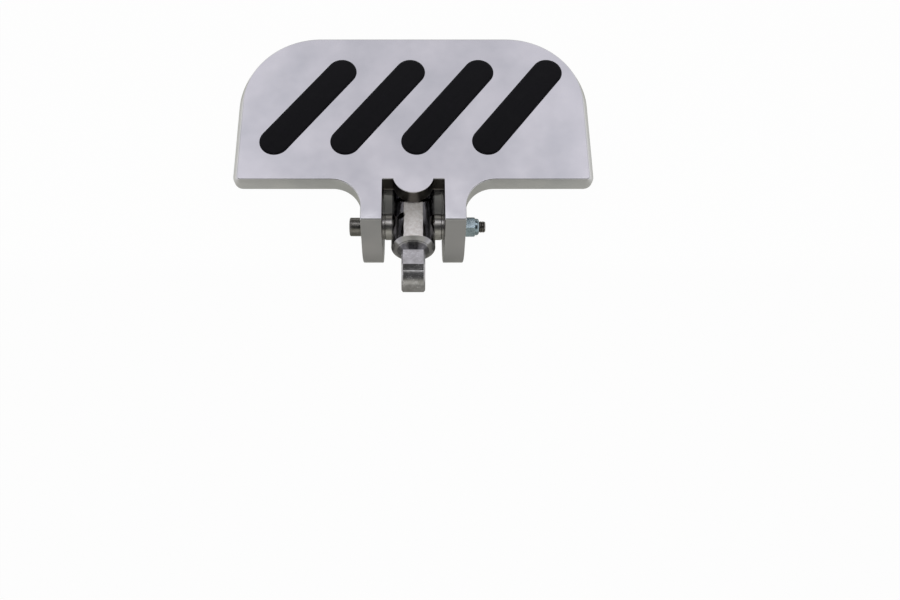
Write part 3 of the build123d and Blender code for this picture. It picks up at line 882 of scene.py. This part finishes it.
bolt = {
    "radius": 4.0,
    "headRadius": 6.5,
    "headHeight": 8.0,
    "headEdge": 0.9,
    "socket": 6.0,
    "socketDepth": 4.0,
    "tail": 4.4,  # past the nut
    "tailEdge": 0.8,
    "pitch": 1.25,
    "ridges": 5,
    "ridgePlaces": (0.16, 0.62, 1.1),  # crest's end, root and next crest within one pitch
    "threadDepth": 0.55,
}
nut = {
    "width": 13.0,
    "height": 9.5,
    "hexHeight": 6.6,
    "chamfer": 30.0,  # degrees
    "collarRadius": 5.8,
    "collarOverlap": 0.5,
    "boreGap": 0.02,
    "insertWall": 1.0,  # room for the nylon ring
    "insertLength": 2.2,
    "insertInset": 0.5,
    "edge": 0.15,
}
rings = {
    "sections": 72,
    "washerRadius": 7.5,
    "washerBore": 4.2,
    "washer": 1.6,  # thickness
    "washerEdge": 0.25,
    "thrustRadius": 9.0,
    "thrust": 1.0,  # thickness
    "thrustEdge": 0.15,
    "spacerRadius": 9.2,
    "spacerBore": 4.3,
    "spacerEdge": 0.45,
    "spacerGap": 0.15,
}
headSeat = earOuter + rings["washer"]


def ring(outer, inner, start, end, edge):
    return moved(turned([(inner, start), (outer - edge, start), (outer, start + edge), (outer, end - edge),
                         (outer - edge, end), (inner, end)], rings["sections"]), yToX)


def hexBar(width, length):
    return moved(rod(width / sqrt(3), length, segments=6), zToX)


def makeBolt():
    head, r, edge, tailEdge = bolt["headRadius"], bolt["radius"], bolt["headEdge"], bolt["tailEdge"]
    start = -headSeat - bolt["headHeight"]
    points = [(0, start), (head - edge, start), (head - 0.25, start + 0.3), (head, start + edge),
              (head, -headSeat), (r, -headSeat)]
    tailEnd = headSeat + nut["height"] + bolt["tail"]
    crest, root, nextCrest = bolt["ridgePlaces"]
    x = tailEnd - tailEdge - bolt["ridges"] * bolt["pitch"]
    for ridge in range(bolt["ridges"]):
        points += [(r, x), (r, x + crest), (r - bolt["threadDepth"], x + root), (r, x + nextCrest)]
        x += bolt["pitch"]
    points += [(r - 0.1, tailEnd - 0.75), (r - tailEdge, tailEnd), (0, tailEnd)]
    bm = moved(turned(points, steps=64), yToX)
    socket = moved(hexBar(bolt["socket"], bolt["socketDepth"]), Matrix.Translation((start - 0.01, 0, 0)))
    return combined(bm, socket)


def makeNut():
    width, high = nut["width"], nut["hexHeight"]
    corner = width / sqrt(3)
    bevel = (corner - width / 2) * tan(radians(nut["chamfer"]))
    bm = hexBar(width, high)
    lens = turned([(0, 0), (corner, 0), (corner, high - bevel), (width / 2 - 0.05, high), (0, high)],
                  rings["sections"])
    bm = combined(bm, moved(lens, yToX), "INTERSECT")
    collar, top, foot = nut["collarRadius"], nut["height"], high - nut["collarOverlap"]
    points = [(0, foot), (collar, foot), (collar, top - 1.5), (collar - 0.25, top - 0.7),
              (collar - 0.8, top - 0.2), (collar - 1.5, top), (0, top)]  # the collar's rolled edge
    bm = combined(bm, moved(turned(points, rings["sections"]), yToX), "UNION")
    bm = combined(bm, crossRod(bolt["radius"] + nut["boreGap"], start=-5, length=30))
    room = crossRod(bolt["radius"] + nut["insertWall"], top - nut["insertInset"] - nut["insertLength"],
                    nut["insertLength"], segments=48)
    return moved(combined(bm, room), Matrix.Translation((headSeat, 0, 0)))


makePiece("pivotBolt", moved(makeBolt(), boltPlace), boltSteel, "board", ["pivot_bolt"],
          sharp=38)
makePiece("lockNut", moved(makeNut(), boltPlace), zincPlate, "board", ["lock_nut"],
          nut["edge"])
for side, name, node in ((-1, "boltWasher", "bolt_washer"), (1, "nutWasher", "nut_washer")):
    disc = ring(rings["washerRadius"], rings["washerBore"], earOuter, headSeat, rings["washerEdge"])
    if side < 0:
        disc = cleaned(moved(disc, Matrix.Rotation(pi, 4, "Z")))
    makePiece(name, moved(disc, boltPlace), zincPlate, "board", [node])
for side, name in ((-1, "left"), (1, "right")):
    turn = Matrix.Rotation(pi if side < 0 else 0, 4, "Z")
    spacer = ring(rings["spacerRadius"], rings["spacerBore"], pivot["spotFace"],
                  earInner - rings["thrust"] - rings["spacerGap"], rings["spacerEdge"])
    makePiece(name + "Spacer", moved(spacer, turn, blockPlace), plainSteel, "block",
              ["spacer_" + name])
    washer = ring(rings["thrustRadius"], rings["washerBore"], earInner - rings["thrust"], earInner,
                  rings["thrustEdge"])
    makePiece(name + "ThrustWasher", moved(washer, turn, boltPlace), plainSteel, "board",
              ["thrust_washer_" + name])

# Small pieces kept from the frame, with their finishes
kept = {
    "level_screw": blackOxide,
    "tension_screw": blackOxide,
    "tension_pad": nylon,
    "lock_nut_insert": nylon,
    "pivot_bush_left": boltSteel,
    "pivot_bush_right": boltSteel,
}
for node, finish in kept.items():
    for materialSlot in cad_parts[node].material_slots:
        materialSlot.material = finish
print("hinge parts ready")


# Floor, lights and camera

studio = {
    "floorZ": -34.25,  # mm, under the ears
    "floorHalf": 6.0,  # metres
    "paper": "#C9C9BF",
    "farPaper": "#96958D",  # towards the camera, where the light falls off
    "paperFade": (0.034, 0.008),  # metres behind the clevis pin, from pale to dark
    "toothMm": 2.5,  # coarser than real paper, so that it shows
    "cameraWhite": 0.975,
    "sideGlow": (0.15, 0.2),  # metres from the middle to where the floor glows white in reflections on both sides, a painted reflection of white cards
    "sky": "#F0EEF7",
    "skyStrength": 0.98,
    "skyLift": (0.94, 1.1),  # in the middle and to the sides
    "sideWalls": "#D5D4D8",
    "softBox": (0.9, 0.4),
    "softBoxPlace": (0.0, 0.3, 1.1),
    "softBoxPower": 1.3,
    "fill": (0.3, 0.3),
    "fillPlace": (0.0, -0.25, 0.55),
    "fillPower": 2.0,
    "lightAim": (0, 0.05, 0),
}
camera = {
    "lens": 29.75,
    "sensorWidth": 36.0,
    "shiftX": 0.0411,
    "clipStart": 0.01,
    "place": (-0.0002, -0.18475, 0.4645),
    "tilt": 19.77,  # degrees from straight down
}


def makeFloor():
    bm = bmesh.new()
    bmesh.ops.create_grid(bm, x_segments=1, y_segments=1, size=studio["floorHalf"],
                          matrix=Matrix.Translation((0, 0, studio["floorZ"] * mm)))
    mesh = bpy.data.meshes.new("floor")
    bm.to_mesh(mesh)
    bm.free()
    material = bpy.data.materials.new("matPaper")
    material.use_nodes = True
    tree = material.node_tree
    tree.nodes.clear()
    out = tree.nodes.new("ShaderNodeOutputMaterial")
    where = addNode(tree, "TexCoord").outputs["Object"]
    tooth = addNode(tree, "TexNoise", Vector=where, Scale=perMetre(studio["toothMm"]), Detail=2.0)
    dent = addNode(tree, "Bump", Height=tooth.outputs["Fac"], Strength=0.05, Distance=0.0003)
    spot = addNode(tree, "SeparateXYZ", Vector=where)
    fall = addNode(tree, "MapRange", {"interpolation_type": "SMOOTHSTEP"}, Value=spot.outputs["Y"],
                   at1=studio["paperFade"][0], at2=studio["paperFade"][1])
    tone = addNode(tree, "Mix", {"data_type": "RGBA"}, at0=fall.outputs[0], at6=linear(studio["paper"]),
                   at7=linear(studio["farPaper"]))
    paper = addNode(tree, "BsdfDiffuse", Color=tone.outputs[2], Normal=dent.outputs[0])
    # Painted reflection: seen in the metal, the floor glows white to both sides, as white cards would
    aside = addNode(tree, "Math", {"operation": "ABSOLUTE"}, at0=spot.outputs["X"])
    glowAside = addNode(tree, "MapRange", {"interpolation_type": "SMOOTHSTEP"}, Value=aside.outputs[0],
                   at1=studio["sideGlow"][0], at2=studio["sideGlow"][1], at3=0.05, at4=1.0)
    ray = addNode(tree, "LightPath")
    share = addNode(tree, "Math", {"operation": "MULTIPLY"}, at0=ray.outputs["Is Glossy Ray"],
                    at1=glowAside.outputs[0])
    direct = addNode(tree, "Math", {"operation": "ADD"}, at0=ray.outputs["Is Camera Ray"],
                     at1=ray.outputs["Is Transmission Ray"])
    seen = addNode(tree, "Math", {"operation": "MULTIPLY"}, at0=direct.outputs[0],
                   at1=studio["cameraWhite"])
    total = addNode(tree, "Math", {"operation": "ADD"}, at0=share.outputs[0], at1=seen.outputs[0])
    glow = addNode(tree, "Emission", Color=(1, 1, 1, 1), Strength=1.0)
    mixed = addNode(tree, "MixShader", at0=total.outputs[0], at1=paper.outputs[0], at2=glow.outputs[0])
    tree.links.new(mixed.outputs[0], out.inputs[0])
    mesh.materials.append(material)
    floor = bpy.data.objects.new("floor", mesh)
    bpy.context.scene.collection.objects.link(floor)


# A pale studio ceiling that darkens towards the near side, where the room behind the camera is unlit
def makeWorld():
    world = bpy.data.worlds.new("studio")
    bpy.context.scene.world = world
    world.use_nodes = True
    tree = world.node_tree
    tree.nodes.clear()
    out = tree.nodes.new("ShaderNodeOutputWorld")
    way = addNode(tree, "TexCoord").outputs["Generated"]
    part = addNode(tree, "SeparateXYZ", Vector=way)
    near = addNode(tree, "Math", {"operation": "MULTIPLY"}, at0=part.outputs["Y"], at1=-1.0)
    lean = addNode(tree, "Math", {"operation": "ARCTAN2"}, at0=near.outputs[0], at1=part.outputs["Z"])
    along = addNode(tree, "MapRange", Value=lean.outputs[0], at1=-pi, at2=pi)
    ramp = addNode(tree, "ValToRGB", Fac=along.outputs[0])
    # Degrees from straight up towards the near side, and the grey seen there
    stops = [(-120, "#B9B8B4"), (-88, "#D8D7DA"), (-50, studio["sky"]), (-23, studio["sky"]),
             (-11, "#2A2A2C"), (40, "#2A2A2C"), (50, "#6E6D69"), (64, "#D8D7CF"), (100, "#C9C8C1")]
    elements = ramp.color_ramp.elements
    for element, (angle, code) in zip(elements, stops):
        element.position = (angle + 180) / 360
        element.color = linear(code)
    for angle, code in stops[2:]:
        element = elements.new((angle + 180) / 360)
        element.color = linear(code)
    wide = addNode(tree, "Math", {"operation": "ABSOLUTE"}, at0=part.outputs["X"])
    lift = addNode(tree, "MapRange", {"interpolation_type": "SMOOTHSTEP"}, Value=wide.outputs[0],
                   at1=0.06, at2=0.28, at3=studio["skyLift"][0], at4=studio["skyLift"][1])
    side = addNode(tree, "MapRange", {"interpolation_type": "SMOOTHSTEP"}, Value=wide.outputs[0],
                   at1=0.5, at2=0.72)
    tone = addNode(tree, "Mix", {"data_type": "RGBA"}, at0=side.outputs[0], at6=ramp.outputs["Color"],
                   at7=linear(studio["sideWalls"]))
    level = addNode(tree, "Math", {"operation": "MULTIPLY"}, at0=lift.outputs[0], at1=studio["skyStrength"])
    ground = addNode(tree, "Background", Color=tone.outputs[2], Strength=level.outputs[0])
    white = addNode(tree, "Background", Color=(1, 1, 1, 1), Strength=1.0)
    ray = addNode(tree, "LightPath")
    mixed = addNode(tree, "MixShader", at0=ray.outputs["Is Camera Ray"], at1=ground.outputs[0],
                    at2=white.outputs[0])
    tree.links.new(mixed.outputs[0], out.inputs[0])


def addLight(name, place, size, power):
    data = bpy.data.lights.new(name, "AREA")
    data.shape = "RECTANGLE"
    data.size, data.size_y = size
    data.energy = power
    lamp = bpy.data.objects.new(name, data)
    lamp.location = place
    towards = Vector(studio["lightAim"]) - Vector(place)
    lamp.rotation_euler = towards.to_track_quat("-Z", "Y").to_euler()
    bpy.context.scene.collection.objects.link(lamp)
    return lamp


def makeCamera():
    data = bpy.data.cameras.new("camera")
    data.lens = camera["lens"]
    data.sensor_width = camera["sensorWidth"]
    data.shift_x = camera["shiftX"]
    data.clip_start = camera["clipStart"]
    stand = bpy.data.objects.new("camera", data)
    stand.location = camera["place"]
    stand.rotation_euler = (radians(camera["tilt"]), 0, 0)
    bpy.context.scene.collection.objects.link(stand)
    bpy.context.scene.camera = stand


makeFloor()
makeWorld()
addLight("softBox", studio["softBoxPlace"], studio["softBox"], studio["softBoxPower"])
fill = addLight("fillLamp", studio["fillPlace"], studio["fill"], studio["fillPower"])
fill.visible_glossy = False  # it lifts the matt surfaces and leaves no mark in the metal
makeCamera()
bpy.context.scene.view_settings.view_transform = "Standard"
print("studio ready")
